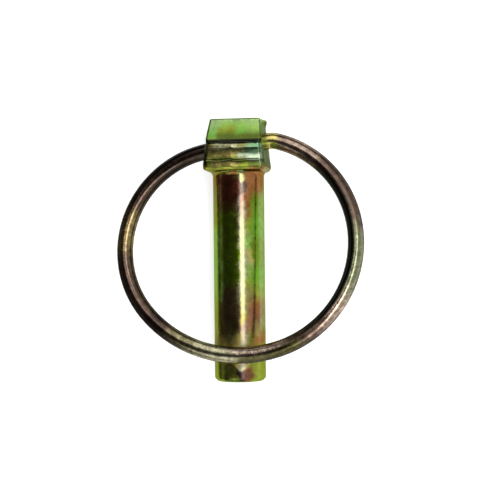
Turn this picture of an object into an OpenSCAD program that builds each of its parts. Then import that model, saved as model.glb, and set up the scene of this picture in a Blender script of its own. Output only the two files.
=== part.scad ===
// Lynch pin: a forged pin with a snap-over spring ring.
// The pin lies along Y with its head towards +Y. The slope and the nose of the head face up, towards
// +Z, and the ring is shut over the shank. The origin is on the shank's axis, where its straight wall
// starts below the head. Lengths are in millimetres and angles in degrees.

/* [Shank] */
// Diameter of the shank
shank_d = 11.1; // [9:0.1:12]
// Length of the shank below the head's neck
shank_len = 44.05; // [43:0.05:70]
// Width of the chamfer round the tip
tip_chamfer = 1; // [0.5:0.1:2]
// Radius of the neck, where the shank flares into the head
neck_r = 1.2; // [0.8:0.1:1.6]

/* [Head] */
// Height of the head's top above the start of the shank
head_top = 12.4; // [11.5:0.1:16]
// Width of the head at its top
head_top_w = 11.1; // [9.5:0.1:13]
// Width of the head at its foot
head_foot_w = 13.6; // [12.8:0.1:15]
// How far the back of the head lies behind the shank's axis
head_back = 6; // [5.7:0.1:7]
// How far the front of the head, under the slope, stands in front of the shank's axis
head_front = 6.3; // [5.9:0.1:6.6]
// How far the top of the slope stands in front of the shank's axis
slope_top = 4; // [2.5:0.1:5.5]
// Radius of the edge round the head's foot
foot_edge_r = 1.2; // [0.8:0.1:1.4]
// Radius of the edge round the head's top
top_edge_r = 0.5; // [0.4:0.1:1]
// Radius of the two upright edges at the front
front_edge_r = 1.2; // [0.8:0.1:1.5]
// Radius of the two upright edges at the back
back_edge_r = 4; // [2.5:0.1:4.5]

/* [Nose] */
// Height of the nose's upper side above the start of the shank
nose_top = 6.9; // [6.2:0.1:8]
// How far the nose stands proud of the head at its upper rim
nose_rim = 0.4; // [0.2:0.1:1]
// How far the nose stands proud of the head at its foot
nose_foot = 0.7; // [0.3:0.1:1.2]
// Radius of the nose's upper rim
nose_rim_r = 0.5; // [0.3:0.1:0.8]
// How far the nose's sides are set in from the head's flanks
nose_inset = 0.25; // [0.1:0.05:0.6]
// Radius of the groove between the slope and the nose
groove_r = 0.45; // [0.3:0.05:0.6]
// Height of the upper shallow flute across the nose
upper_flute = 5.5; // [5.3:0.1:5.6]
// Height of the lower shallow flute across the nose
lower_flute = 3.2; // [3:0.1:4]
// Radius of both flutes
flute_r = 0.8; // [0.5:0.1:1]
// Depth of both flutes
flute_depth = 0.15; // [0.05:0.05:0.2]

/* [Cross bore] */
// Height of the bore's middle above the start of the shank
bore_height = 6.65; // [5.5:0.05:8]
// Slope of the bore across the head, higher at the right
bore_slope = 8.2; // [4:0.1:10]
// Gap all round the wire in the bore
bore_gap = 0.05; // [0.01:0.01:0.1]

/* [Spring ring] */
// Diameter of the wire
wire_d = 3.5; // [2.8:0.1:4]
// Bending radius of the ring's left side, at the wire's centre
left_r = 21.4; // [20:0.1:23]
// Bending radius of the side that crosses the shank
far_r = 27.4; // [26:0.1:34]
// Bending radius of the ring's right side
right_r = 23.4; // [22:0.1:25]
// Bending radius where the wire turns into the head
bend_r = 3.5; // [3:0.1:5]
// Turn of the left bend
left_bend = 3; // [2:0.5:10]
// Turn of the side that crosses the shank
far_turn = 66; // [50:1:70]
// Straight wire between the head's flank and each bend
stub_out = 0.8; // [0.8:0.1:1.6]
// Length of each wire end inside the head
end_depth = 4.3; // [3:0.1:5]
// Gap between the shut ring and the shank
ring_gap = 0.86; // [0.2:0.02:1.5]

/* [Hidden] */
$fn = 96;
// Facets round the small radii of the head, which are joined by hulls
EDGE_FN = 32;
// Every second piece of the ring's wire is thinner by a hair and laps into both its neighbours,
// so that all of them fuse into one wire.
HAIR = 0.01;
LAP = 0.15;

shank_r = shank_d / 2;
wire_r = wire_d / 2;

// The neck's hollow arc runs without a kink into the round edge of the foot at the flanks.
// Height of the foot's underside, and the radius at which the two arcs meet.
edge_sum = neck_r + foot_edge_r;
edge_across = shank_r + neck_r - (head_foot_w / 2 - foot_edge_r);
foot_bottom = sqrt(edge_sum ^ 2 - edge_across ^ 2) - foot_edge_r;
foot_y = foot_bottom + foot_edge_r;
neck_out = shank_r + neck_r - edge_across * neck_r / edge_sum;

// Half the head's width at a height: both flanks are straight and flare towards the foot.
top_y = head_top - top_edge_r;
flare = (head_foot_w - head_top_w) / 2 / (top_y - foot_y);
function flank(y) = head_foot_w / 2 - flare * (y - foot_y);

// The nose's front between the middles of its rim and of its foot edge.
rim_y = nose_top - nose_rim_r;
nose_foot_y = foot_y + nose_inset;
nose_lean = (nose_foot - nose_rim) / (rim_y - nose_foot_y);
function nose_front(y) = head_front + nose_foot - (y - nose_foot_y) * nose_lean;

// Where the bore's middle line leaves a flank, along the bore: side is -1 at the left, 1 at the right.
function bore_mouth(side) =
    flank(bore_height) / (cos(bore_slope) + side * flare * sin(bore_slope));

// The ring in its own plane: x runs along the bore, and y points from the far side to the bore.
// The wire leaves the head at its left end and turns through 360 degrees, back to its right end.
// Where it has turned by t, it heads along -x turned by t, and out(t) points away from the ring.
function out(t) = [-sin(t), cos(t)];
function heading(v) = atan2(v[1], v[0]);

left_end = -bore_mouth(-1) - stub_out;
right_end = bore_mouth(1) + stub_out;

// Centres of the two bends and the three sides. The left side's centre follows from the left bend.
// The right side's centre closes a triangle with it and the right bend's centre.
left_bend_c = [left_end, -bend_r];
right_bend_c = [right_end, -bend_r];
left_c = left_bend_c - (left_r - bend_r) * out(left_bend);
centre_step = (far_r - right_r) * out(far_turn) - (far_r - left_r) * out(0);
centre_gap = norm(centre_step);
right_arm = right_r - bend_r;
base = right_bend_c - left_c;
base_angle = acos((centre_gap ^ 2 + norm(base) ^ 2 - right_arm ^ 2) / (2 * centre_gap * norm(base)));
step_dir = heading(base) - base_angle;
right_c = left_c + centre_gap * [cos(step_dir), sin(step_dir)];
far_start = (step_dir - heading(centre_step) + 360) % 360;
far_end = far_start + far_turn;
far_c = left_c - (far_r - left_r) * out(far_start);
right_bend = heading(right_bend_c - right_c) + 270;

// Distance along the shank from the bore to the wire that crosses it, and the tilt that clears it.
shank_dir = [-sin(bore_slope), -cos(bore_slope)];
cross_near = shank_dir * far_c;
crossing = cross_near + sqrt(cross_near ^ 2 - far_c * far_c + far_r ^ 2);
ring_tilt = asin((shank_r + ring_gap + wire_r) / (crossing * cos(bore_slope)));

// A disc across Y with a round rim, for the corners that the hulls join.
module corner(x, y, z, r, rim_r) {
    translate([x, y, z])
        rotate([90, 0, 0])
            rotate_extrude($fn = EDGE_FN)
                intersection() {
                    union() {
                        translate([r - rim_r, 0])
                            circle(r = rim_r);
                        translate([0, -rim_r])
                            square([r - rim_r, 2 * rim_r]);
                    }
                    translate([0, -rim_r])
                        square([r, 2 * rim_r]);
                }
}

// A corner on each flank of the head, with its front or back at the given place.
module front_pair(y, front, rim_r, inset = 0) {
    r = max(front_edge_r, rim_r);
    for (side = [-1, 1])
        corner(side * (flank(y) - inset - r), y, front - r, r, rim_r);
}

module back_pair(y, rim_r) {
    for (side = [-1, 1])
        corner(side * (flank(y) - back_edge_r), y, back_edge_r - head_back, back_edge_r, rim_r);
}

module head_block() {
    hull() {
        front_pair(top_y, slope_top, top_edge_r);
        front_pair(nose_top, head_front, nose_rim_r);
        front_pair(foot_y, head_front, foot_edge_r);
        back_pair(top_y, top_edge_r);
        back_pair(foot_y, foot_edge_r);
    }
}

// The nose's front leans forward from its rim to its foot.
module nose() {
    hull() {
        front_pair(rim_y, head_front + nose_rim, nose_rim_r, nose_inset);
        front_pair(rim_y, head_front - foot_edge_r, nose_rim_r, nose_inset);
        front_pair(nose_foot_y, head_front + nose_foot, foot_edge_r, nose_inset);
        front_pair(nose_foot_y, head_front - foot_edge_r, foot_edge_r, nose_inset);
    }
}

// Shank, tip and neck in one turned form about the pin's axis.
module shank() {
    rotate([90, 0, 0])
        rotate_extrude() {
            polygon([
                [0, -foot_y],
                [shank_r, -foot_y],
                [shank_r, shank_len - tip_chamfer],
                [shank_r - tip_chamfer, shank_len],
                [0, shank_len]
            ]);
            difference() {
                translate([0, -foot_y])
                    square([neck_out, foot_y]);
                translate([shank_r + neck_r, 0])
                    circle(r = neck_r);
            }
        }
}

// A round groove across the head's front, with its middle line at the given height and distance in
// front of the shank's axis.
module cross_groove(y, z, r) {
    translate([0, y, z])
        rotate([0, 90, 0])
            cylinder(h = 2 * head_foot_w, r = r, center = true);
}

module bore() {
    translate([0, bore_height, 0])
        rotate([0, 0, bore_slope])
            rotate([0, 90, 0])
                cylinder(h = 2 * head_foot_w, r = wire_r + bore_gap, center = true);
}

module pin() {
    color([0.55, 0.55, 0.3])
        difference() {
            union() {
                head_block();
                nose();
                intersection() {
                    shank();
                    translate([-shank_d, -2 * shank_len, -head_back])
                        cube([2 * shank_d, 3 * shank_len, 2 * shank_d]);
                }
            }
            cross_groove(nose_top + groove_r, head_front, groove_r);
            for (y = [upper_flute, lower_flute])
                cross_groove(y, nose_front(y) + flute_r - flute_depth, flute_r);
            bore();
        }
}

// One bend or side of the ring's wire, from one turn of the wire to another.
module wire_arc(centre, r, from, to, laps = false) {
    lap_angle = laps ? LAP / r * 180 / PI : 0;
    translate(centre)
        rotate([0, 0, 90 + from - lap_angle])
            rotate_extrude(angle = to - from + 2 * lap_angle)
                translate([r, 0])
                    circle(r = wire_r - (laps ? HAIR : 0));
}

// A straight wire end along the bore.
module wire_end(from, to) {
    translate([from, 0, 0])
        rotate([0, 90, 0])
            cylinder(h = to - from, r = wire_r);
}

module spring_ring() {
    color([0.4, 0.33, 0.24])
        translate([0, bore_height, 0])
            rotate([0, 0, bore_slope])
                rotate([-ring_tilt, 0, 0]) {
                    wire_end(left_end, left_end + stub_out + end_depth);
                    wire_arc(left_bend_c, bend_r, 0, left_bend, laps = true);
                    wire_arc(left_c, left_r, left_bend, far_start);
                    wire_arc(far_c, far_r, far_start, far_end, laps = true);
                    wire_arc(right_c, right_r, far_end, right_bend);
                    wire_arc(right_bend_c, bend_r, right_bend, 360, laps = true);
                    wire_end(right_end - stub_out - end_depth, right_end);
                }
}

pin();
spring_ring();
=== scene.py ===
"""Looks of the lynch pin: a forged pin and its spring ring, plated with zinc and yellow chromate."""

import math

import bmesh
import bpy
import numpy as np
from mathutils import Matrix, Vector, noise

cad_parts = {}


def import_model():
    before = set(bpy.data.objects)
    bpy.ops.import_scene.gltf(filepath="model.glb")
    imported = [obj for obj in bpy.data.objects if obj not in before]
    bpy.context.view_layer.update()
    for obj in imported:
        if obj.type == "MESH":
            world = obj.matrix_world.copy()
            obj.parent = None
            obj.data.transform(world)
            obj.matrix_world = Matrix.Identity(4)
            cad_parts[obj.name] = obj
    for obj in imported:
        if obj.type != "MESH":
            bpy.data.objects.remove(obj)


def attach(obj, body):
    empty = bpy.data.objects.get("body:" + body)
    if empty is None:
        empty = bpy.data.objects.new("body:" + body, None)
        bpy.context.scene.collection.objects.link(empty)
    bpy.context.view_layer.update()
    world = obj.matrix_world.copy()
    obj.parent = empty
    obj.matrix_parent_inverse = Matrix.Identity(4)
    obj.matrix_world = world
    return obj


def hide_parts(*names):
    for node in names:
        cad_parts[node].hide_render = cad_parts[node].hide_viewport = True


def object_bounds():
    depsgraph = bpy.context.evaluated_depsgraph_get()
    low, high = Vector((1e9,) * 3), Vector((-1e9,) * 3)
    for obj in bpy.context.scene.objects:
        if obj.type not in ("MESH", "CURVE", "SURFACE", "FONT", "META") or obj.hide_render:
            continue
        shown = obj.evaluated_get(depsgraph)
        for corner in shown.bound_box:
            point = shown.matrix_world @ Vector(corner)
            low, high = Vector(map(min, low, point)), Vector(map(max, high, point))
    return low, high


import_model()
CAD_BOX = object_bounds()

MM = 0.001

# Sizes in millimetres, in the frame of the part: +Y towards the head, +Z up to the slope and the nose.
# A turn is a direction round the shank's axis: 0 to the front (+Z) and 90 degrees to the right (+X).
SHANK_R = 5.55
SHANK_LEN = 44.05
NECK_R = 1.2
# The tip's chamfer is worn and its edges are soft: how far each softness reaches, and how far it draws in
# the edge's corner.
TIP_CHAMFER = 0.7
TIP_SOFT = 0.3
TIP_DROP = 0.2 * TIP_SOFT

HEAD_TOP = 12.4
HEAD_TOP_W = 11.1
HEAD_FOOT_W = 13.6
HEAD_BACK = 6.0
HEAD_FRONT = 6.3
SLOPE_TOP = 4.0
FOOT_EDGE_R = 1.2
TOP_EDGE_R = 0.5
FRONT_EDGE_R = 1.2
BACK_EDGE_R = 4.0
# The front edges get sharper beside the slope, over a short way above the nose.
SLOPE_EDGE_R = 0.4
SHARPENING = 1.2
# The foot is more worn at its left corner: how much rounder, and the corner's turn and spread in degrees.
WORN_FOOT_R = 0.6
WORN_CORNER = (-62, 30)
# A burr stands out at the top right: how far, its turn and spread, the height where it starts, and the
# height over which it grows.
BURR = 0.45
BURR_CORNER = (118, 14)
BURR_FROM = 10.6
BURR_RISE = 1.2

NOSE_TOP = 6.9
NOSE_RIM = 0.4
NOSE_FOOT = 0.7
NOSE_RIM_R = 0.5
NOSE_EDGE_R = 0.7
NOSE_INSET = 0.25
NOSE_CORNER_R = 0.8
NOSE_CROWN = 0.22
NOSE_CORNER_MIN_R = 0.05
# The nose faces forward only: it ends where a direction's cosine falls to the first of these. The second
# is the least cosine that its crown is divided by.
NOSE_SIDE_COS = 0.3
CROWN_SIDE_COS = 0.5
GROOVE_R = 0.45
# How softly the nose grows out of the head.
SOFTEN = 0.12

# The nose steps out over three ledges, which meet at the two flutes. A ledge is as deep as this share of
# its height, hollow above its rounded lip, and the lip takes a share of the height too.
FLUTES = (5.75, 3.2)
LEDGE = 0.12
LEDGE_HOLLOW = 2.2
LEDGE_LIP = 0.16
LEDGE_LIP_ROUND = 0.7
# The lowest ledge ends a little below the middle of the nose's foot edge.
BELOW_FOOT = 0.2
# The ledges rise and fall by WAVE: share of it, waves in a full turn, phase.
WAVE = 0.12
WAVES = ((1.0, 4.5, 0.6), (0.5, 11.0, 0.0))

# Smooth hollows of the forged head: size across, depth, the level of the noise under which they lie, and
# the noise's place.
HOLLOW_ACROSS = 2.6
HOLLOW_DEPTH = 0.05
HOLLOW_LEVEL = 0.3
HOLLOW_SHIFT = Vector((4.0, 9.2, -6.8))
# They leave out the rows near the axis, up to this radius.
HOLLOW_FROM_R = 0.5 * SHANK_R

BORE_HEIGHT = 6.65
BORE_SLOPE = 8.2
BORE_R = 1.8
BORE_SIDES = 96

WIRE_R = 1.75
LEFT_R = 21.4
FAR_R = 27.4
RIGHT_R = 23.4
BEND_R = 3.5
LEFT_BEND = 3.0
FAR_TURN = 66.0
STUB_OUT = 0.8
END_DEPTH = 4.3
RING_GAP = 0.86
# The wire is drawn thinner by a hair, to stay inside the part's own box.
HAIR = 0.012

# Worked out from the sizes above, as in the part's source.
EDGE_SUM = NECK_R + FOOT_EDGE_R
EDGE_ACROSS = SHANK_R + NECK_R - (HEAD_FOOT_W / 2 - FOOT_EDGE_R)
FOOT_BOTTOM = math.sqrt(EDGE_SUM**2 - EDGE_ACROSS**2) - FOOT_EDGE_R
FOOT_Y = FOOT_BOTTOM + FOOT_EDGE_R
NECK_OUT = SHANK_R + NECK_R - EDGE_ACROSS * NECK_R / EDGE_SUM
TOP_Y = HEAD_TOP - TOP_EDGE_R
FLARE = (HEAD_FOOT_W - HEAD_TOP_W) / 2 / (TOP_Y - FOOT_Y)
RIM_Y = NOSE_TOP - NOSE_RIM_R
NOSE_FOOT_Y = FOOT_BOTTOM + NOSE_EDGE_R + NOSE_INSET
SLOPE_FALL = (HEAD_FRONT - SLOPE_TOP) / (TOP_Y - NOSE_TOP)
LEDGES = ((NOSE_FOOT_Y - BELOW_FOOT, FLUTES[1]), (FLUTES[1], FLUTES[0]), (FLUTES[0], NOSE_TOP))
LEDGE_MEAN = 0.5 * LEDGE * (FLUTES[0] - FLUTES[1])

# The pin's mesh: how many rows each stretch has, and how many samples find the rows of a curved one. The
# spans are the first and the last row of a stretch, as shares of the face's radius or of the chamfer.
TIP_FACE_SPAN = (0.06, 1)
CHAMFER_SPAN = (0.15, 0.85)
TOP_FACE_SPAN = (0.93, 0.07)
TIP_FACE_ROWS = 8
CHAMFER_ROWS = 6
SHANK_ROWS = 44
NECK_SAMPLES = 120
FOOT_SAMPLES = 320
FOOT_ROWS = 44
SLOPE_ROWS = 14
TOP_EDGE_SAMPLES = 80
TOP_EDGE_ROWS = 12
TOP_FACE_ROWS = 13
# Heights where the stretches meet, and the step between the nose's rows.
NECK_FROM = -0.6
NOSE_FROM = NOSE_FOOT_Y + 0.1
NOSE_END = 8.0
NOSE_STEP = 0.1
# The neck's rows end just under the foot, where the head starts.
JUST_UNDER = 1e-6
# Directions round the pin: samples and points in half a turn. They are closer together at the front edges:
# the turn and spread of those, and how much closer.
TURN_SAMPLES = 2001
HALF_TURN_POINTS = 141
FRONT_EDGES = (48, 9)
EDGE_EXTRA = 1.6

# The ring's mesh: rows in each straight end, the step between rows on the bends and sides, points round it.
END_ROWS = 12
WIRE_STEP = 0.55
WIRE_POINTS = 40

# Edges that turn by more than this, in degrees, are drawn sharp.
PIN_SHARP = 40
RING_SHARP = 60
TINY = 1e-9


# ---------------------------------------------------------------- the pin's form


def flank(y):
    """Half the head's width at a height."""
    return HEAD_FOOT_W / 2 - FLARE * (y - FOOT_Y)


def bell(degrees, middle, spread):
    """1 at the middle, falling smoothly to about 0 two spreads away."""
    return np.exp(-(((degrees - middle) / spread) ** 2))


def edge_inset(y, low, low_r, high, high_r):
    """How far a block's outline is drawn in at a height by the round edges at its foot and top."""
    below = np.clip(low - y, 0, low_r)
    above = np.clip(y - high, 0, high_r)
    return low_r - np.sqrt(low_r**2 - below**2) + high_r - np.sqrt(high_r**2 - above**2)


def reach(turn, half, front, back, front_r, back_r):
    """Distance from the axis, in a direction, to a rectangle with round corners."""
    across, ahead = np.abs(np.sin(turn)), np.cos(turn)
    to_front = ahead > 0
    depth = np.where(to_front, front, back)
    r = np.where(to_front, front_r, back_r)
    far = np.minimum(half / np.maximum(across, TINY), depth / np.maximum(np.abs(ahead), TINY))
    cx, cz = half - r, depth - r
    in_corner = (far * across > cx) & (far * np.abs(ahead) > cz)
    along = across * cx + np.abs(ahead) * cz
    round_far = along + np.sqrt(np.maximum(along**2 - cx**2 - cz**2 + r**2, 0))
    return np.where(in_corner, round_far, far)


def soft_max(a, b, k):
    """The larger of both, with a smooth change where they differ by less than k."""
    h = np.clip(0.5 + 0.5 * (a - b) / k, 0, 1)
    return b + (a - b) * h + k * h * (1 - h)


def foot_edge(turn):
    """Radius of the foot's edge, which is rounder at the front left corner."""
    wrapped = np.degrees(np.angle(np.exp(1j * turn)))
    return FOOT_EDGE_R + WORN_FOOT_R * bell(wrapped, *WORN_CORNER)


def block_front(y):
    """How far the head stands in front of the axis: straight, then the groove, then the slope."""
    slope = HEAD_FRONT - (np.clip(y, FOOT_Y, TOP_Y) - NOSE_TOP) * SLOPE_FALL
    off = np.clip(np.abs(y - NOSE_TOP - GROOVE_R), 0, GROOVE_R)
    groove = HEAD_FRONT - np.sqrt(GROOVE_R**2 - off**2) * (off < GROOVE_R)
    return np.minimum(np.minimum(HEAD_FRONT, slope), groove)


def block_reach(turn, y):
    """The head without its nose: flared flanks, a slope at the front and the groove under it."""
    foot_r = foot_edge(turn)
    inset = edge_inset(y, FOOT_BOTTOM + foot_r, foot_r, TOP_Y, TOP_EDGE_R)
    blunt = np.clip((NOSE_TOP + SHARPENING - y) / SHARPENING, 0, 1)
    front_r = SLOPE_EDGE_R + (FRONT_EDGE_R - SLOPE_EDGE_R) * blunt
    found = reach(
        turn,
        flank(np.clip(y, FOOT_Y, TOP_Y)) - inset,
        block_front(y) - inset,
        HEAD_BACK - inset,
        np.maximum(front_r - inset, 0),
        np.maximum(BACK_EDGE_R - inset, 0),
    )
    burr = BURR * bell(np.degrees(turn), *BURR_CORNER) * np.clip((y - BURR_FROM) / BURR_RISE, 0, 1)
    return np.where((y < FOOT_BOTTOM) | (y > HEAD_TOP), 0, found + burr)


def wave(turn):
    """The ledges across the nose were forged by eye, so they rise and fall a little from side to side."""
    return WAVE * sum(share * np.sin(waves * turn + phase) for share, waves, phase in WAVES)


def nose_front(turn, y, inset):
    """How far the nose stands in front of the axis: it leans forward to its foot, over the ledges."""
    lean = (NOSE_FOOT - NOSE_RIM) * (RIM_Y - np.clip(y, NOSE_FOOT_Y, RIM_Y)) / (RIM_Y - NOSE_FOOT_Y)
    front = HEAD_FRONT + NOSE_RIM + lean - inset - LEDGE_MEAN
    for low, high in LEDGES:
        down = np.clip((high - y - wave(turn)) / (high - low), 0, 1)
        step = LEDGE * (high - low) * down**LEDGE_HOLLOW
        front = front + step * np.clip((1 - down) / LEDGE_LIP, 0, 1) ** LEDGE_LIP_ROUND
    return front


def nose_reach(turn, y):
    """The nose, set in from the flanks and crowned across the head."""
    inset = edge_inset(y, NOSE_FOOT_Y, NOSE_EDGE_R, RIM_Y, NOSE_RIM_R)
    front = nose_front(turn, y, inset)
    half = flank(np.clip(y, NOSE_FOOT_Y, RIM_Y)) - NOSE_INSET - inset
    corner = np.maximum(NOSE_CORNER_R - inset, NOSE_CORNER_MIN_R)
    found = reach(turn, half, front - NOSE_CROWN, HEAD_BACK / 2, corner, corner)
    ahead = np.cos(turn)
    aside = found * np.sin(turn) / (half - corner)
    crown = NOSE_CROWN * np.clip(1 - aside**2, 0, 1) * (ahead > 0)
    found = found + crown / np.maximum(ahead, CROWN_SIDE_COS)
    outside = (y < NOSE_FOOT_Y - NOSE_EDGE_R) | (y > NOSE_TOP) | (ahead < NOSE_SIDE_COS)
    return np.where(outside, 0, found)


def neck_reach(turn, y):
    """Shank and neck, cut flat where they would stand behind the head's back."""
    rise = np.clip(y, 0, NECK_R)
    fillet = SHANK_R + NECK_R - np.sqrt(NECK_R**2 - rise**2)
    found = np.where(y > FOOT_Y, 0, np.minimum(fillet, NECK_OUT))
    back = HEAD_BACK / np.maximum(-np.cos(turn), TINY)
    return np.minimum(found, np.where(np.cos(turn) < 0, back, found))


def head_reach(turn, y):
    """Distance from the axis to the pin's surface, from the neck to the head's top."""
    body = np.maximum(neck_reach(turn, y), block_reach(turn, y))
    return soft_max(body, nose_reach(turn, y), SOFTEN)


def spaced(r, y, count):
    """The polylines (r, y), one a column, with count points each at equal distances along them."""
    step = np.hypot(np.diff(r, axis=0), np.diff(y, axis=0))
    length = np.vstack([np.zeros(r.shape[1]), np.cumsum(step, axis=0)])
    share = np.linspace(0, 1, count)
    rows_r, rows_y = np.empty((count, r.shape[1])), np.empty((count, r.shape[1]))
    for column in range(r.shape[1]):
        at = share * length[-1, column]
        rows_r[:, column] = np.interp(at, length[:, column], r[:, column])
        rows_y[:, column] = np.interp(at, length[:, column], y[:, column])
    return rows_r, rows_y


def turns_round():
    """Directions round the axis, closer together where the head's front edges are."""
    fine = np.linspace(0, math.pi, TURN_SAMPLES)
    density = 1 + EDGE_EXTRA * bell(np.degrees(fine), *FRONT_EDGES)
    share = np.concatenate([[0], np.cumsum((density[1:] + density[:-1]) / 2)])
    half = np.interp(np.linspace(0, share[-1], HALF_TURN_POINTS), share, fine)
    return np.concatenate([half, 2 * math.pi - half[-2:0:-1]])


def shank_rows():
    """(radius, height) of each row from the tip's middle to the top of the straight shank."""
    tip_r = SHANK_R - TIP_CHAMFER
    face = np.linspace(*TIP_FACE_SPAN, TIP_FACE_ROWS)
    rows = [(share * (tip_r - TIP_SOFT), -SHANK_LEN) for share in face]
    rows.append((tip_r, -SHANK_LEN + TIP_DROP))
    for share in np.linspace(*CHAMFER_SPAN, CHAMFER_ROWS):
        rows.append((tip_r + share * TIP_CHAMFER, -SHANK_LEN + share * TIP_CHAMFER))
    rows.append((SHANK_R - TIP_DROP, -SHANK_LEN + TIP_CHAMFER))
    wall_from = -SHANK_LEN + TIP_CHAMFER + TIP_SOFT
    rows += [(SHANK_R, y) for y in np.linspace(wall_from, NECK_FROM, SHANK_ROWS)]
    return rows


def head_rows(turn):
    """(radii, heights) of each row from the neck to the middle of the head's top, for each direction."""
    ones = np.ones_like(turn)
    neck = np.linspace(NECK_FROM, FOOT_BOTTOM - JUST_UNDER, NECK_SAMPLES)
    foot = np.linspace(FOOT_BOTTOM, NOSE_FROM, FOOT_SAMPLES)
    low = np.concatenate([neck, foot])[:, None] * ones
    r, y = spaced(head_reach(turn, low), low, FOOT_ROWS)
    rows = list(zip(r[1:], y[1:]))
    nose = np.arange(NOSE_FROM + NOSE_STEP, NOSE_END, NOSE_STEP)
    slope = np.linspace(NOSE_END + NOSE_STEP, TOP_Y - 2 * NOSE_STEP, SLOPE_ROWS)
    for level in np.concatenate([nose, slope]):
        rows.append((head_reach(turn, level * ones), level * ones))
    high = np.linspace(TOP_Y - NOSE_STEP, HEAD_TOP, TOP_EDGE_SAMPLES)[:, None] * ones
    r, y = spaced(head_reach(turn, high), high, TOP_EDGE_ROWS)
    rows += list(zip(r, y))
    rows += [(r[-1] * share, HEAD_TOP * ones) for share in np.linspace(*TOP_FACE_SPAN, TOP_FACE_ROWS)]
    return rows


def pin_rows():
    """Directions round the pin, and the radius and height of its surface for each row and direction."""
    turn = turns_round()
    ones = np.ones_like(turn)
    rows = [(r * ones, y * ones) for r, y in shank_rows()] + head_rows(turn)
    return turn, np.array([r for r, _ in rows]), np.array([y for _, y in rows])


def grid_mesh(name, points, closed_ends):
    """A mesh through rows of points that close on themselves, with a middle point at both ends."""
    count, across = points.shape[:2]
    verts = [tuple(p) for p in points.reshape(-1, 3)]
    faces = []
    for row in range(count - 1):
        for column in range(across):
            beside = (column + 1) % across
            a, b = row * across, (row + 1) * across
            faces.append((a + column, a + beside, b + beside, b + column))
    for row, middle in ((0, closed_ends[0]), (count - 1, closed_ends[1])):
        verts.append(tuple(middle))
        for column in range(across):
            beside = (column + 1) % across
            faces.append((row * across + column, row * across + beside, len(verts) - 1))
    mesh = bpy.data.meshes.new(name)
    mesh.from_pydata(verts, [], faces)
    shape = bmesh.new()
    shape.from_mesh(mesh)
    bmesh.ops.recalc_face_normals(shape, faces=shape.faces)
    shape.to_mesh(mesh)
    shape.free()
    return mesh


def linked(name, data):
    """An object in the scene that shows a mesh or holds a camera."""
    piece = bpy.data.objects.new(name, data)
    bpy.context.scene.collection.objects.link(piece)
    return piece


def smooth(mesh, sharp_from):
    mesh.shade_smooth()
    mesh.set_sharp_from_angle(angle=math.radians(sharp_from))


def hollow(point):
    """How far the forged surface is sunk at a point, as a distance below 0."""
    height = noise.noise(Vector(point) / HOLLOW_ACROSS + HOLLOW_SHIFT)
    return HOLLOW_DEPTH * min(0.0, height - HOLLOW_LEVEL)


def pin_body():
    turn, r, y = pin_rows()
    away = np.stack([np.sin(turn), 0 * turn, np.cos(turn)], axis=-1)
    points = np.stack([r * np.sin(turn), y, r * np.cos(turn)], axis=-1)
    on_head = np.clip(y / FOOT_BOTTOM, 0, 1) * (r > HOLLOW_FROM_R)
    hollows = np.array([hollow(p) for p in points.reshape(-1, 3)]).reshape(r.shape) * on_head
    points = points + hollows[..., None] * away
    ends = ((0, -SHANK_LEN, 0), (0, HEAD_TOP, 0))
    piece = linked("pin_body", grid_mesh("pin_body", points * MM, np.array(ends) * MM))
    drill_bore(piece)
    smooth(piece.data, PIN_SHARP)
    return piece


def bore_cutter():
    """A cylinder along the cross bore, which slopes up to the right."""
    r = BORE_R * MM
    shape = bmesh.new()
    bmesh.ops.create_cone(
        shape, cap_ends=True, segments=BORE_SIDES, radius1=r, radius2=r, depth=2 * HEAD_FOOT_W * MM
    )
    mesh = bpy.data.meshes.new("bore_cutter")
    shape.to_mesh(mesh)
    shape.free()
    cutter = linked("bore_cutter", mesh)
    turned = Matrix.Rotation(math.radians(BORE_SLOPE), 4, "Z") @ Matrix.Rotation(math.radians(90), 4, "Y")
    cutter.matrix_world = Matrix.Translation((0, BORE_HEIGHT * MM, 0)) @ turned
    return cutter


def drill_bore(piece):
    """Cuts the cross bore out of the head."""
    cutter = bore_cutter()
    cut = piece.modifiers.new("bore", "BOOLEAN")
    cut.operation, cut.solver, cut.object = "DIFFERENCE", "EXACT", cutter
    bpy.context.view_layer.update()
    drilled = bpy.data.meshes.new_from_object(piece.evaluated_get(bpy.context.evaluated_depsgraph_get()))
    piece.modifiers.clear()
    piece.data = drilled
    drilled.name = "pin_body"
    bpy.data.objects.remove(cutter)


# ---------------------------------------------------------------- the ring's form


def out(turn):
    """The direction that points away from the ring where the wire has turned by so many degrees."""
    return np.array([-math.sin(math.radians(turn)), math.cos(math.radians(turn))])


def heading(v):
    """The direction of a vector in the ring's plane, in degrees."""
    return math.degrees(math.atan2(v[1], v[0]))


def bore_mouth(side):
    """Where the bore's middle line leaves a flank, along the bore: side is -1 (left) or 1 (right)."""
    slope = math.radians(BORE_SLOPE)
    return flank(BORE_HEIGHT) / (math.cos(slope) + side * FLARE * math.sin(slope))


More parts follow.
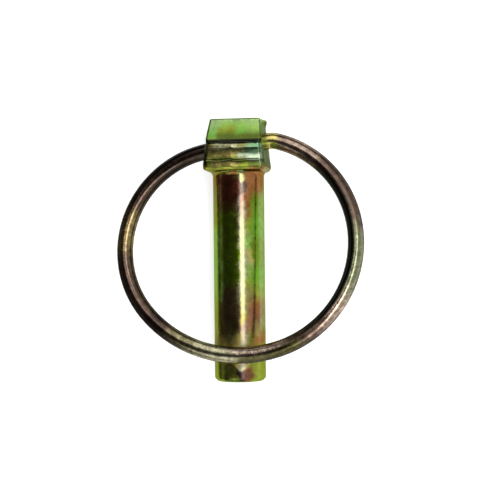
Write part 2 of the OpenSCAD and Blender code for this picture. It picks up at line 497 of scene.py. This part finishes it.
def ring_arcs():
    """(centre, radius, first turn, last turn) of each bend and side, in the ring's own plane."""
    left_bend_c = np.array([-(bore_mouth(-1) + STUB_OUT), -BEND_R])
    right_bend_c = np.array([bore_mouth(1) + STUB_OUT, -BEND_R])
    left_c = left_bend_c - (LEFT_R - BEND_R) * out(LEFT_BEND)
    step = (FAR_R - RIGHT_R) * out(FAR_TURN) - (FAR_R - LEFT_R) * out(0)
    gap, base = np.linalg.norm(step), right_bend_c - left_c
    arm, span = RIGHT_R - BEND_R, np.linalg.norm(base)
    toward = heading(base) - math.degrees(math.acos((gap**2 + span**2 - arm**2) / (2 * gap * span)))
    right_c = left_c + gap * np.array([math.cos(math.radians(toward)), math.sin(math.radians(toward))])
    far_start = (toward - heading(step) + 360) % 360
    far_end = far_start + FAR_TURN
    far_c = left_c - (FAR_R - LEFT_R) * out(far_start)
    right_bend = heading(right_bend_c - right_c) + 270
    return [
        (left_bend_c, BEND_R, 0, LEFT_BEND),
        (left_c, LEFT_R, LEFT_BEND, far_start),
        (far_c, FAR_R, far_start, far_end),
        (right_c, RIGHT_R, far_end, right_bend),
        (right_bend_c, BEND_R, right_bend, 360),
    ]


def ring_line():
    """Points along the wire's middle in the ring's plane, and the turn of the wire at each."""
    arcs = ring_arcs()
    left_end, right_end = arcs[0][0][0], arcs[-1][0][0]
    inside = STUB_OUT + END_DEPTH
    shares = np.linspace(0, 1, END_ROWS)
    line = [((left_end + inside - share * inside, 0), 0) for share in shares[:-1]]
    for centre, radius, first, last in arcs:
        count = max(4, round(math.radians(last - first) * radius / WIRE_STEP))
        line += [(centre + radius * out(t), t) for t in np.linspace(first, last, count + 1)[:-1]]
    line += [((right_end - share * inside, 0), 360) for share in shares]
    return np.array([p for p, _ in line], float), np.array([t for _, t in line], float)


def ring_tilt():
    """How far the shut ring stands up from the pin's axis, to clear the shank."""
    slope = math.radians(BORE_SLOPE)
    _, _, (far_c, *_), _, _ = ring_arcs()
    along = np.array([-math.sin(slope), -math.cos(slope)])
    near = along @ far_c
    crossing = near + math.sqrt(near**2 - far_c @ far_c + FAR_R**2)
    return math.degrees(math.asin((SHANK_R + RING_GAP + WIRE_R) / (crossing * math.cos(slope))))


def ring_place():
    """Puts the ring's own plane, in millimetres, into the part's frame, with the ring shut."""
    return (
        Matrix.Translation((0, BORE_HEIGHT, 0))
        @ Matrix.Rotation(math.radians(BORE_SLOPE), 4, "Z")
        @ Matrix.Rotation(math.radians(-ring_tilt()), 4, "X")
    )


def spring_wire():
    line, turn = ring_line()
    around = np.linspace(0, 2 * math.pi, WIRE_POINTS + 1)[:-1, None]
    middle = np.array([(*p, 0) for p in line])
    outward = np.array([(*out(t), 0) for t in turn])
    shown_r = WIRE_R - HAIR
    upward = shown_r * np.sin(around) * np.array([0, 0, 1])
    points = middle[:, None, :] + shown_r * np.cos(around) * outward[:, None, :] + upward
    place = np.array(ring_place())
    points = points @ place[:3, :3].T + place[:3, 3]
    ends = middle[[0, -1]] @ place[:3, :3].T + place[:3, 3]
    mesh = grid_mesh("spring_wire", points * MM, ends * MM)
    smooth(mesh, RING_SHARP)
    return linked("spring_wire", mesh)


# ---------------------------------------------------------------- colours


def srgb(red, green, blue):
    """A colour given as it shows on screen, 0 to 255, as Blender's linear values."""
    values = [v / 255 for v in (red, green, blue)]
    return tuple(v / 12.92 if v <= 0.04045 else ((v + 0.055) / 1.055) ** 2.4 for v in values) + (1.0,)


LIME = srgb(100, 150, 38)
LEAF = srgb(128, 165, 75)
TOP_GREEN = srgb(124, 150, 96)
TOP_LEAF = srgb(120, 154, 68)
TOP_LIME = srgb(88, 138, 46)
TOP_OLIVE = srgb(114, 126, 36)
TOP_SHADE = srgb(70, 84, 22)
MOSS = srgb(98, 122, 20)
OLIVE = srgb(128, 138, 46)
SHADE = srgb(92, 108, 30)
SAND = srgb(130, 120, 66)
GOLD = srgb(176, 160, 84)
# Painted highlight: a pale cream for where the shank's highlight runs down its front.
CREAM_HIGHLIGHT = srgb(140, 138, 104)
STONE = srgb(108, 110, 66)
# Painted highlight: a pale pewter for the lit upper rim of the nose.
PEWTER_HIGHLIGHT = srgb(158, 158, 122)
# Painted shade: a dark pine for the shaded band under the nose's rim.
PINE_SHADE = srgb(50, 72, 50)
TEAL = srgb(92, 124, 90)
# Painted highlight: a pale mint for the nose's bright ledge.
MINT_HIGHLIGHT = srgb(144, 158, 132)
# Painted shade: a dark brown for the tip's front below the ring.
TIP_SHADE = srgb(54, 38, 34)
COPPER = srgb(142, 94, 52)
RUST = srgb(126, 78, 36)
PINK = srgb(118, 98, 86)
CLAY = srgb(144, 98, 66)
DUSK = srgb(86, 72, 64)
PLUM = srgb(112, 72, 46)
MAROON = srgb(112, 58, 40)
BROWN = srgb(96, 78, 50)
# Near black, for painted shade.
SHADE_BLACK = srgb(16, 18, 8)
# Painted highlight: a pale green for the shank's right rim.
GLEAM = srgb(194, 216, 168)
ASH = srgb(124, 128, 98)
MAUVE = srgb(124, 104, 90)
ROSE = srgb(158, 138, 122)
# Painted highlight: a pale blush for the ring's brightest highlights.
BLUSH_HIGHLIGHT = srgb(182, 162, 144)
# Brassy plating that also paints in a highlight, where the wire leaves the head at the right.
BRASSY_HIGHLIGHT = srgb(182, 168, 98)
TAN = srgb(146, 127, 86)
UMBER = srgb(84, 66, 53)
# Painted shade: a near black brown for the ring's shaded upper left.
DEEP_SHADE = srgb(50, 36, 26)
# Painted highlight: a pale pearl for the highlights low on the ring.
PEARL_HIGHLIGHT = srgb(158, 154, 124)
DRAB = srgb(112, 106, 72)
KHAKI = srgb(76, 72, 32)

# The plating's colours by place: stops of (height in millimetres, colour) for five strips along the pin,
# which follow one another round its front from the left to the right. The colours and their places, and
# the ring's too, were worked out from colours read off the photo.
# At the tip, the last dark stops paint shade: on the chamfer in the left and dark strips, and below the
# ring in the front strip.
LEFT_STRIP = [
    (12, TOP_GREEN), (8.6, TOP_LIME), (7, SAND), (5, SAND), (2, OLIVE), (0, COPPER), (-4, SAND),
    (-9, OLIVE), (-13, LEAF), (-22, LEAF), (-29, OLIVE), (-36, SAND), (-42, OLIVE), (-43.4, OLIVE),
    (-43.8, TOP_SHADE),
]
# On the nose, from a height of about 7.8 down to 2, its stops paint the ledges' light and shade: the pale
# pewter and sand bands are painted highlights, and the dark band between them is painted shade.
DARK_STRIP = [
    (12, TOP_GREEN), (11.2, TOP_LEAF), (10, TOP_OLIVE), (8.7, TOP_SHADE), (7.8, TOP_SHADE),
    (7.2, PEWTER_HIGHLIGHT), (6.1, PEWTER_HIGHLIGHT), (5.6, STONE), (4.9, SAND), (4.2, SAND), (3.7, TOP_SHADE),
    (3.3, TOP_SHADE), (2.9, SAND), (2.2, SAND), (1.2, OLIVE), (0, MAROON), (-5, MAROON), (-9, MOSS),
    (-22, MOSS), (-25, BROWN), (-31, BROWN), (-35, SAND), (-38, GOLD), (-43.2, OLIVE),
    (-43.6, TOP_SHADE),
]
# The front strip lies where the shank's highlight runs down it. Its pale cream stops paint that highlight
# in, over the plating's own pinkish tint, and its dusk stops make it dimmer below the neck. On the nose,
# its mint stop paints the ledges' highlight.
FRONT_STRIP = [
    (12, TOP_GREEN), (11, TOP_LEAF), (9.5, TOP_LIME), (8.6, TOP_SHADE), (7.8, TOP_SHADE), (7, STONE),
    (5, STONE), (4.2, MINT_HIGHLIGHT), (3.6, STONE), (3.2, SHADE), (2.3, OLIVE), (1.2, SHADE), (0, CREAM_HIGHLIGHT),
    (-0.8, DUSK), (-3.2, DUSK), (-4.6, PINK), (-6, PINK), (-10, CREAM_HIGHLIGHT), (-24, CREAM_HIGHLIGHT), (-30, SAND),
    (-32, PINK), (-36, CREAM_HIGHLIGHT), (-38.5, PINK), (-40, CREAM_HIGHLIGHT), (-41.2, TIP_SHADE), (-43, TIP_SHADE),
]
# On the nose, the dark pine and the darkest bands paint the ledges' shade, and the pale mint paints their
# highlight.
WARM_STRIP = [
    (12, TOP_GREEN), (10, TOP_LEAF), (8.6, TOP_SHADE), (7.8, TOP_SHADE), (7.1, TEAL), (6.1, TEAL),
    (5.7, PINE_SHADE), (4.9, PINE_SHADE), (4.4, MINT_HIGHLIGHT), (3.5, MINT_HIGHLIGHT), (3, TOP_SHADE), (2.1, TOP_SHADE),
    (1.4, COPPER), (-4, COPPER), (-7, RUST), (-9.5, OLIVE), (-13, LEAF), (-15, LEAF), (-17, GOLD),
    (-19.5, LEAF), (-23, OLIVE), (-26.4, SAND), (-28.5, CLAY), (-31.5, CLAY), (-34, OLIVE),
    (-36, SAND), (-39, OLIVE), (-40.5, PLUM), (-43, PLUM),
]
# On the nose, the pale mint paints the ledges' highlight.
RIGHT_STRIP = [
    (12, TOP_GREEN), (10, TOP_LEAF), (8.6, TOP_SHADE), (7.8, TOP_SHADE), (7.1, TEAL), (5.2, TEAL),
    (4.4, MINT_HIGHLIGHT), (3.3, TEAL), (2.2, STONE), (1.4, COPPER), (-1, COPPER), (-2.5, RUST), (-5, MOSS),
    (-10, LIME), (-16, MOSS), (-21, LIME), (-25, OLIVE), (-27.5, RUST), (-30, PLUM), (-33, SAND),
    (-35, COPPER), (-38, OLIVE), (-43, OLIVE),
]
STRIPS = (LEFT_STRIP, DARK_STRIP, FRONT_STRIP, WARM_STRIP, RIGHT_STRIP)
# Where each strip gives way to the next, in degrees round the pin from its front.
STRIP_BORDERS = ((-38, -28), (4, 12), (22, 30), (36, 46))
# Noise shifts the strips' colours: its scale, and the whole spread of the shift in millimetres, across the
# pin and along it. Along it, the spread is smaller on the head than on the shank.
PATCH_SCALE = 0.25
SPREAD_ACROSS = 4.0
SPREAD_ALONG = (8.0, 1.5)

# The back and the end faces have a mix that follows noise: stops of (level of the noise, colour), the
# noise's scale, where the back takes over in degrees round the pin, and how deep the faces' mix reaches.
BACK_MIX = [(0.30, BROWN), (0.42, OLIVE), (0.50, LIME), (0.58, LEAF), (0.66, GOLD), (0.75, PLUM)]
BACK_SCALE = 0.16
BACK_BORDERS = ((95, 115), (-95, -115))
FACE_DEPTH = 0.3

# The ring's colours by place: stops of (degrees round the ring, colour), from the right, past the head.
# They are partly its plating and partly painted light: the pale pearl and blush stops paint highlights in,
# and the darkest stops paint shade, most at the upper left.
RING_STRIP = [
    (0, ASH), (5, ASH), (13, UMBER), (44, UMBER), (58, ROSE), (70, MAUVE), (80, UMBER), (90, DEEP_SHADE),
    (135, DEEP_SHADE), (158, UMBER), (172, TAN), (181, TAN), (189, UMBER), (213, UMBER), (221, DEEP_SHADE),
    (231, UMBER), (240, DRAB), (250, PEARL_HIGHLIGHT), (264, PEARL_HIGHLIGHT), (274, BLUSH_HIGHLIGHT), (290, BLUSH_HIGHLIGHT), (300, ROSE),
    (308, UMBER), (314, UMBER), (320, MAUVE), (328, BLUSH_HIGHLIGHT), (334, BLUSH_HIGHLIGHT), (342, ASH), (360, ASH),
]
# The middle that these degrees go round, in X and Y, and the scale and the spread of the noise's shift.
RING_MIDDLE = (0.3, -15.0)
RING_PATCH_SCALE = 0.22
RING_SPREAD = 14.0

# Below, a border is a pair: where a mark's strength is 0, and where it is full.
#
# Painted shade in the creases across the head's front: (height, half its width, strength) of each, and the
# border in Z that keeps it at the front.
CREASES = ((NOSE_TOP + GROOVE_R, 0.62, 0.95), (FLUTES[0], 0.3, 0.5), (FLUTES[1], 0.4, 0.5))
CREASE_FRONT = (HEAD_FRONT - 1.4, HEAD_FRONT - 0.6)
# Painted shade at the left edge of the head's front, by height, X and Z.
LEFT_EDGE_Y = ((1.9, 2.6), (8.6, 7.6))
LEFT_EDGE_X = (-5.3, -5.9)
LEFT_EDGE_Z = (3.0, 5.0)
# A painted highlight makes the shank's right rim paler, by height and by degrees round the pin, and by this
# share.
PALE_RIM_Y = ((-1.5, -4.0), (-34.0, -31.0))
PALE_RIM_ANGLE = (57, 66)
PALE_RIM_SHARE = 0.25
# A stretch of the shank near the tip is rubbed dull: its borders, and what it adds to the roughness.
RUBBED_Y = ((-33.0, -36.0), (-40.6, -39.6))
RUBBED_DULL = 0.2
# Marks on the ring, by share of a turn round it. A stain lies on its outside, from where it crosses the
# shank towards the right, by distance from the ring's middle too. Painted shade darkens the inner side of
# its right side, by distance from that side's own centre too. Two stretches are dull.
STAINED = ((0.73, 0.755), (0.87, 0.84))
STAINED_R = (22.6, 23.8)
INSIDE_SHADE = ((0.855, 0.88), (0.13, 0.1))
INSIDE_SHADE_R = (RIGHT_R - 0.1, RIGHT_R - 0.5)
DULL_STRETCHES = (((0.0, 0.03), (0.13, 0.09)), ((0.83, 0.85), (0.89, 0.875)))
STRETCH_DULL = 0.14
# The wire is brassy where it leaves the head at the right, by X and Y; the pale brass there also paints in
# the highlight on its bend.
BRASSY_HIGHLIGHT_X = ((9.6, 8.2), (4.0, 5.0))
BRASSY_HIGHLIGHT_Y = (-2.0, 2.0)


# ---------------------------------------------------------------- materials


# The plating's bumps: scales of a fine and of a broad noise, and the fine one's share.
FINE_SCALE = 2.4
BROAD_SCALE = 0.8
FINE_SHARE = 0.15
# The broad noise changes the roughness too: by the steps below, at these levels of the noise.
ROUGH_LEVELS = (0.3, 0.7)
ROUGH_STEPS = (-0.04, 0.06)
COAT_ROUGHNESS = 0.07

# The floor's paper, and the strength of its own glow.
PAPER = (0.6, 0.6, 0.6, 1)
GLOW = 0.62


class Nodes:
    """Adds nodes to a tree and links them, so that a shader reads as a list of steps."""

    def __init__(self, tree):
        self.tree = tree
        tree.nodes.clear()

    def add(self, kind, inputs=(), **settings):
        made = self.tree.nodes.new(kind)
        for key, value in settings.items():
            setattr(made, key, value)
        for key, value in dict(inputs).items():
            if isinstance(value, bpy.types.NodeSocket):
                self.tree.links.new(value, made.inputs[key])
            else:
                made.inputs[key].default_value = value
        return made

    def math(self, operation, a, b=0.0):
        return self.add("ShaderNodeMath", {0: a, 1: b}, operation=operation).outputs[0]

    def vector(self, operation, a, b=(0, 0, 0)):
        return self.add("ShaderNodeVectorMath", {0: a, 1: b}, operation=operation).outputs[0]

    def measure(self, operation, a, b=(0, 0, 0)):
        """A number worked out from vectors, such as a length."""
        return self.add("ShaderNodeVectorMath", {0: a, 1: b}, operation=operation).outputs["Value"]

    def parts(self, vector):
        return self.add("ShaderNodeSeparateXYZ", {0: vector}).outputs

    def degrees(self, aside, ahead):
        """The direction of a place seen from an axis: 0 ahead and 90 at the side."""
        return self.math("MULTIPLY", self.math("ARCTAN2", aside, ahead), 180 / math.pi)

    def noise(self, where, scale, detail=3.0, roughness=0.5):
        inputs = {"Vector": where, "Scale": scale, "Detail": detail, "Roughness": roughness}
        return self.add("ShaderNodeTexNoise", inputs).outputs

    def wander(self, where, scale):
        """A vector that changes smoothly from place to place, with each part about -0.5 to 0.5."""
        found = self.noise(where, scale, roughness=0.6)["Color"]
        return self.vector("SUBTRACT", found, (0.5, 0.5, 0.5))

    def span(self, value, low, high, to_low=0.0, to_high=1.0, kind="SMOOTHSTEP"):
        """Carries the span from low to high over to another, and stays at its ends outside it."""
        inputs = {"Value": value, "From Min": low, "From Max": high, "To Min": to_low, "To Max": to_high}
        return self.add("ShaderNodeMapRange", inputs, interpolation_type=kind).outputs[0]

    def between(self, value, borders, strength=1.0):
        """The strength inside two soft borders, and 0 outside them."""
        first, second = borders
        return self.math("MULTIPLY", self.span(value, *first), self.span(value, *second, 0.0, strength))

    def ramp(self, value, stops):
        made = self.add("ShaderNodeValToRGB", {"Fac": value})
        elements = made.color_ramp.elements
        while len(elements) < len(stops):
            elements.new(0.5)
        for element, (place, colour) in zip(elements, stops):
            element.position, element.color = place, colour
        return made.outputs[0]

    def mix(self, share, a, b, blend="MIX"):
        inputs = {"Factor": share, 6: a, 7: b}
        return self.add("ShaderNodeMix", inputs, data_type="RGBA", blend_type=blend).outputs[2]


def empty_material(name):
    material = bpy.data.materials.new(name)
    material.use_nodes = True
    return material, Nodes(material.node_tree)


def place_in_mm(n):
    """The object's own place of each point, in millimetres."""
    metres = n.add("ShaderNodeTexCoord").outputs["Object"]
    return n.vector("MULTIPLY", metres, (1 / MM, 1 / MM, 1 / MM))


def finish_plating(n, where, colour, dull, rough, lumps, rim, coat):
    """Roughness, bumps and the surface shader that both platings share.

    rough is the plating's roughness, dull what its worn places add to it, lumps the height of its bumps
    in millimetres, rim the tint of its edges and coat the share of clear coat.
    """
    fine = n.noise(where, FINE_SCALE)["Fac"]
    broad = n.noise(where, BROAD_SCALE)["Fac"]
    height = n.math("ADD", broad, n.math("MULTIPLY", fine, FINE_SHARE))
    bump = n.add("ShaderNodeBump", {"Height": height, "Strength": 1.0, "Distance": lumps * MM})
    levels = [rough + step for step in ROUGH_STEPS]
    roughness = n.math("ADD", n.span(broad, *ROUGH_LEVELS, *levels, "LINEAR"), dull)
    look = {"Base Color": colour, "Metallic": 1.0, "Roughness": roughness, "Normal": bump.outputs[0]}
    shader = n.add("ShaderNodeBsdfPrincipled", look)
    shader.inputs["Specular Tint"].default_value = rim
    shader.inputs["Coat Weight"].default_value = coat
    shader.inputs["Coat Roughness"].default_value = COAT_ROUGHNESS
    n.add("ShaderNodeOutputMaterial", {"Surface": shader.outputs[0]})


def specked(n, where, colour, grain, levels, strength):
    """The colour with brown specks where the noise is low. grain is its scale, detail and roughness."""
    speck = n.noise(where, *grain)["Fac"]
    return n.mix(n.span(speck, *levels, strength, 0.0), colour, BROWN, "MULTIPLY")


def along_pin(strip):
    """A strip's stops as shares of the pin's length, from the tip up."""
    length = SHANK_LEN + HEAD_TOP
    return [((y + SHANK_LEN) / length, colour) for y, colour in sorted(strip)]


def pin_patches(n, where, xyz):
    """The pin's colours by place, and what the rubbed stretch near its tip adds to the roughness."""
    along = n.span(xyz["Y"], 0, FOOT_Y + 1, *SPREAD_ALONG)
    spread = n.add("ShaderNodeCombineXYZ", {0: SPREAD_ACROSS, 1: along, 2: SPREAD_ACROSS}).outputs[0]
    shift = n.vector("MULTIPLY", n.wander(where, PATCH_SCALE), spread)
    shifted = n.parts(n.vector("ADD", where, shift))
    share = n.span(shifted["Y"], -SHANK_LEN, HEAD_TOP, kind="LINEAR")
    angle = n.degrees(shifted["X"], shifted["Z"])
    colour, *others = (n.ramp(share, along_pin(strip)) for strip in STRIPS)
    for border, other in zip(STRIP_BORDERS, others):
        colour = n.mix(n.span(angle, *border), colour, other)
    beyond = n.math("MAXIMUM", *(n.span(angle, *border) for border in BACK_BORDERS))
    for inner, end in ((-SHANK_LEN + FACE_DEPTH, -SHANK_LEN), (HEAD_TOP - FACE_DEPTH, HEAD_TOP)):
        beyond = n.math("MAXIMUM", beyond, n.span(xyz["Y"], inner, end))
    colour = n.mix(beyond, colour, n.ramp(n.noise(where, BACK_SCALE)["Fac"], BACK_MIX))
    return colour, n.between(shifted["Y"], RUBBED_Y, RUBBED_DULL)


def head_painted_shade(n, xyz):
    """Strength of the painted shade in the creases across the head's front and at its left edge."""
    found = 0.0
    for middle, half, strength in CREASES:
        off = n.math("ABSOLUTE", n.math("SUBTRACT", xyz["Y"], middle))
        found = n.math("MAXIMUM", found, n.span(off, half, 0.5 * half, 0.0, strength))
    found = n.math("MULTIPLY", found, n.span(xyz["Z"], *CREASE_FRONT))
    left_edge = n.math("MULTIPLY", n.span(xyz["X"], *LEFT_EDGE_X), n.span(xyz["Z"], *LEFT_EDGE_Z))
    return n.math("MAXIMUM", found, n.math("MULTIPLY", n.between(xyz["Y"], LEFT_EDGE_Y), left_edge))


def pin_plating():
    material, n = empty_material("pin_plating")
    where = place_in_mm(n)
    xyz = n.parts(where)
    colour, dull = pin_patches(n, where, xyz)
    # Painted highlight along the shank's right rim.
    pale = n.span(n.degrees(xyz["X"], xyz["Z"]), *PALE_RIM_ANGLE, 0.0, PALE_RIM_SHARE)
    colour = n.mix(n.math("MULTIPLY", n.between(xyz["Y"], PALE_RIM_Y), pale), colour, GLEAM)
    colour = specked(n, where, colour, grain=(0.8, 3.0, 0.6), levels=(0.35, 0.6), strength=0.22)
    # Painted shade in the head's creases and at its left edge.
    colour = n.mix(head_painted_shade(n, xyz), colour, SHADE_BLACK)
    finish_plating(n, where, colour, dull, rough=0.22, lumps=0.03, rim=srgb(180, 190, 140), coat=0.15)
    return material


def ring_share(n, where):
    """Share of a turn round the ring, from the right past the head, with its borders shifted by noise."""
    shift = n.vector("MULTIPLY", n.wander(where, RING_PATCH_SCALE), (RING_SPREAD,) * 3)
    xyz = n.parts(n.vector("ADD", where, shift))
    aside = n.math("SUBTRACT", xyz["X"], RING_MIDDLE[0])
    ahead = n.math("SUBTRACT", xyz["Y"], RING_MIDDLE[1])
    angle = n.math("ARCTAN2", n.math("MULTIPLY", ahead, -1.0), n.math("MULTIPLY", aside, -1.0))
    return n.math("ADD", n.math("MULTIPLY", angle, 0.5 / math.pi), 0.5)


def ring_stain(n, where, share):
    """Strength of the stain along the ring's outside."""
    level = n.vector("MULTIPLY", n.vector("SUBTRACT", where, (*RING_MIDDLE, 0)), (1, 1, 0))
    outside = n.span(n.measure("LENGTH", level), *STAINED_R)
    return n.math("MULTIPLY", n.between(share, STAINED), outside)


def ring_inside_shade(n, where, share):
    """Strength of the painted shade on the inner side of the ring's right half."""
    _, _, _, (right_c, *_), _ = ring_arcs()
    centre = ring_place() @ Vector((*right_c, 0))
    inner = n.span(n.measure("LENGTH", n.vector("SUBTRACT", where, tuple(centre))), *INSIDE_SHADE_R)
    at_right = n.math("MAXIMUM", *(n.span(share, *border) for border in INSIDE_SHADE))
    return n.math("MULTIPLY", inner, at_right)


def ring_plating():
    material, n = empty_material("ring_plating")
    where = place_in_mm(n)
    xyz = n.parts(where)
    share = ring_share(n, where)
    colour = n.ramp(share, [(degrees / 360, tone) for degrees, tone in RING_STRIP])
    colour = n.mix(ring_stain(n, where, share), colour, KHAKI)
    colour = specked(n, where, colour, grain=(1.0, 4.0, 0.65), levels=(0.4, 0.62), strength=0.5)
    # Brassy colour and a painted highlight where the wire leaves the head at the right.
    brass_glint = n.math("MULTIPLY", n.between(xyz["X"], BRASSY_HIGHLIGHT_X), n.span(xyz["Y"], *BRASSY_HIGHLIGHT_Y))
    colour = n.mix(brass_glint, colour, BRASSY_HIGHLIGHT)
    # Painted shade on the inner side of the ring's right half.
    colour = n.mix(ring_inside_shade(n, where, share), colour, SHADE_BLACK)
    dull = n.math("ADD", *(n.between(share, borders, STRETCH_DULL) for borders in DULL_STRETCHES))
    finish_plating(n, where, colour, dull, rough=0.2, lumps=0.04, rim=srgb(74, 68, 52), coat=0.35)
    return material


def floor_material():
    """Pale floor. Its own glow is seen, also in metal, but lights nothing else."""
    material, n = empty_material("pale_floor")
    seen = n.add("ShaderNodeLightPath").outputs
    share = n.math("MAXIMUM", seen["Is Camera Ray"], seen["Is Glossy Ray"])
    share = n.math("MAXIMUM", share, seen["Is Transmission Ray"])
    paper = n.add("ShaderNodeBsdfDiffuse", {"Color": PAPER}).outputs[0]
    strength = n.math("MULTIPLY", share, GLOW)
    glow = n.add("ShaderNodeEmission", {"Color": (1, 1, 1, 1), "Strength": strength}).outputs[0]
    both = n.add("ShaderNodeAddShader", {0: paper, 1: glow})
    n.add("ShaderNodeOutputMaterial", {"Surface": both.outputs[0]})
    return material


# ---------------------------------------------------------------- camera and stage


# The photo's camera stands a little to the right of the part's front, and is rolled a little. Its distance
# and its sensor are in millimetres. MM_PER_PX is what a pixel shows at the part's origin, and ORIGIN_PX is
# where the photo shows that origin.
CAMERA_YAW = math.radians(10.5)
CAMERA_ROLL = math.radians(0.6)
CAMERA_DISTANCE = 307.0
SENSOR_WIDTH = 36.0
MM_PER_PX = 0.2165
IMAGE_PX = 500
ORIGIN_PX = (238.5, 177.0)

# Soft boxes of the studio, seen from the part: the angles that each spans from the direction of the photo's
# camera, to the right of it and up the photo, in degrees, then the widths of its soft borders both ways and
# its strength.
SOFT_BOXES = {
    "strip": ((5, 22), (-40, 40), (5, 8), 6.5),
    "wall": ((16, 70), (-90, 90), (8, 20), 1.05),
    "side": ((62, 140), (-90, 90), (20, 20), 1.25),
    "band": ((-38, 24), (36, 80), (20, 18), 2.2),
    "key": ((-24, -4), (19, 42), (8, 8), 3.6),
    "foot": ((-60, 10), (-86, -28), (14, 24), 1.9),
    "rim": ((104, 150), (-90, 90), (12, 20), 1.9),
    "left": ((-140, -84), (-60, 30), (44, 30), 0.5),
}
# The strength everywhere else.
DARK_WALLS = 0.075
# A pale horizon lies all round: it is nothing where a direction's Z is the first of these, and full where
# it is the second.
HORIZON = (0.28, 0.17)

FLOOR_LEVEL = CAD_BOX[0].z / MM
# The opened ring hangs below the pin, so the floor ends a little past the head and a lower one goes on.
FLOOR_HALF = 2000.0
FLOOR_END = 20.0
FLOOR_DROP = 40.0

# Cards round the part that are seen only in its metal: how pale they are, and their corners. The one at the
# right lies just above the floor, beside the head: a painted shadow there, as the metal sees it.
JUST_ABOVE = FLOOR_LEVEL + 0.1
FLAGS = {
    "left_flag": (0.12, [(-42, -110, -6), (-42, 80, -6), (-42, 80, 12), (-42, -110, 12)]),
    "right_shadow_card": (
        0.5,
        [(7.3, 1.5, JUST_ABOVE), (12, 1.5, JUST_ABOVE), (12, 12.6, JUST_ABOVE), (6.3, 12.6, JUST_ABOVE)],
    ),
    "top_flag": (0.03, [(-90, 46, -6), (90, 46, -6), (90, 46, 14), (-90, 46, 14)]),
}


def view_basis():
    """Right, up and towards the camera, in the part's frame."""
    right = Vector((math.cos(CAMERA_YAW), 0, -math.sin(CAMERA_YAW)))
    toward = Vector((math.sin(CAMERA_YAW), 0, math.cos(CAMERA_YAW)))
    up = Vector((0, 1, 0))
    roll, level = math.sin(CAMERA_ROLL), math.cos(CAMERA_ROLL)
    return level * right - roll * up, roll * right + level * up, toward


def camera():
    """Stands at the photo's angle, and shows the part's origin at its place in the photo."""
    right, up, toward = view_basis()
    aside = (IMAGE_PX / 2 - ORIGIN_PX[0]) * MM_PER_PX
    above = (ORIGIN_PX[1] - IMAGE_PX / 2) * MM_PER_PX
    data = bpy.data.cameras.new("camera")
    data.sensor_width = SENSOR_WIDTH
    data.lens = SENSOR_WIDTH / 2 * CAMERA_DISTANCE / (IMAGE_PX / 2 * MM_PER_PX)
    data.clip_start, data.clip_end = 0.01, 10
    made = linked("camera", data)
    spot = (aside * right + above * up + CAMERA_DISTANCE * toward) * MM
    turned = Matrix((right, up, toward)).transposed().to_4x4()
    made.matrix_world = Matrix.Translation(spot) @ turned
    bpy.context.scene.camera = made


def window(n, value, inside, soft):
    """1 inside a span of angles and 0 outside it, with soft borders."""
    low, high = inside
    rise = n.span(value, low - soft / 2, low + soft / 2)
    fall = n.span(value, high - soft / 2, high + soft / 2, 1.0, 0.0)
    return n.math("MULTIPLY", rise, fall)


def world():
    """Studio walls: soft boxes on dark walls, and a pale horizon all round."""
    made = bpy.data.worlds.new("studio")
    bpy.context.scene.world = made
    made.use_nodes = True
    n = Nodes(made.node_tree)
    ray = n.add("ShaderNodeTexCoord").outputs["Generated"]
    right, up, toward = (n.measure("DOT_PRODUCT", ray, tuple(v)) for v in view_basis())
    aside = n.degrees(right, toward)
    above = n.math("MULTIPLY", n.math("ARCSINE", up), 180 / math.pi)
    strength = DARK_WALLS
    for across, along, (soft_across, soft_along), power in SOFT_BOXES.values():
        box = n.math("MULTIPLY", window(n, aside, across, soft_across), window(n, above, along, soft_along))
        strength = n.math("MAXIMUM", strength, n.math("MULTIPLY", box, power))
    strength = n.math("MAXIMUM", strength, n.span(n.parts(ray)["Z"], *HORIZON))
    sky = n.add("ShaderNodeBackground", {"Color": (1, 1, 1, 1), "Strength": strength})
    n.add("ShaderNodeOutputWorld", {"Surface": sky.outputs[0]})


def sheet(name, corners, material):
    """A flat four-sided piece of the stage. Its corners are in millimetres."""
    mesh = bpy.data.meshes.new(name)
    mesh.from_pydata([tuple(c * MM for c in corner) for corner in corners], [], [(0, 1, 2, 3)])
    mesh.materials.append(material)
    made = linked(name, mesh)
    return made


def flags():
    for name, (tone, corners) in FLAGS.items():
        material, n = empty_material(name)
        cloth = n.add("ShaderNodeBsdfDiffuse", {"Color": (tone, tone, tone, 1)})
        n.add("ShaderNodeOutputMaterial", {"Surface": cloth.outputs[0]})
        card = sheet(name, corners, material)
        card.visible_camera = card.visible_diffuse = card.visible_shadow = False


def floor_corners(end, level):
    """A level part of the floor, up to a place along the part's Y."""
    half = FLOOR_HALF
    return [(-half, -half, level), (half, -half, level), (half, end, level), (-half, end, level)]


def floor():
    material = floor_material()
    sheet("low_floor", floor_corners(FLOOR_HALF, FLOOR_LEVEL - FLOOR_DROP), material)
    upper = sheet("floor", floor_corners(FLOOR_END, FLOOR_LEVEL), material)
    upper.visible_diffuse = upper.visible_shadow = False


camera()
world()
floor()
flags()

pin = pin_body()
pin.data.materials.clear()
pin.data.materials.append(pin_plating())
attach(pin, "pin")
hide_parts("pin")

ring = spring_wire()
ring.data.materials.append(ring_plating())
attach(ring, "ring")
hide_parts("spring_ring")

bpy.context.scene.view_settings.view_transform = "Standard"
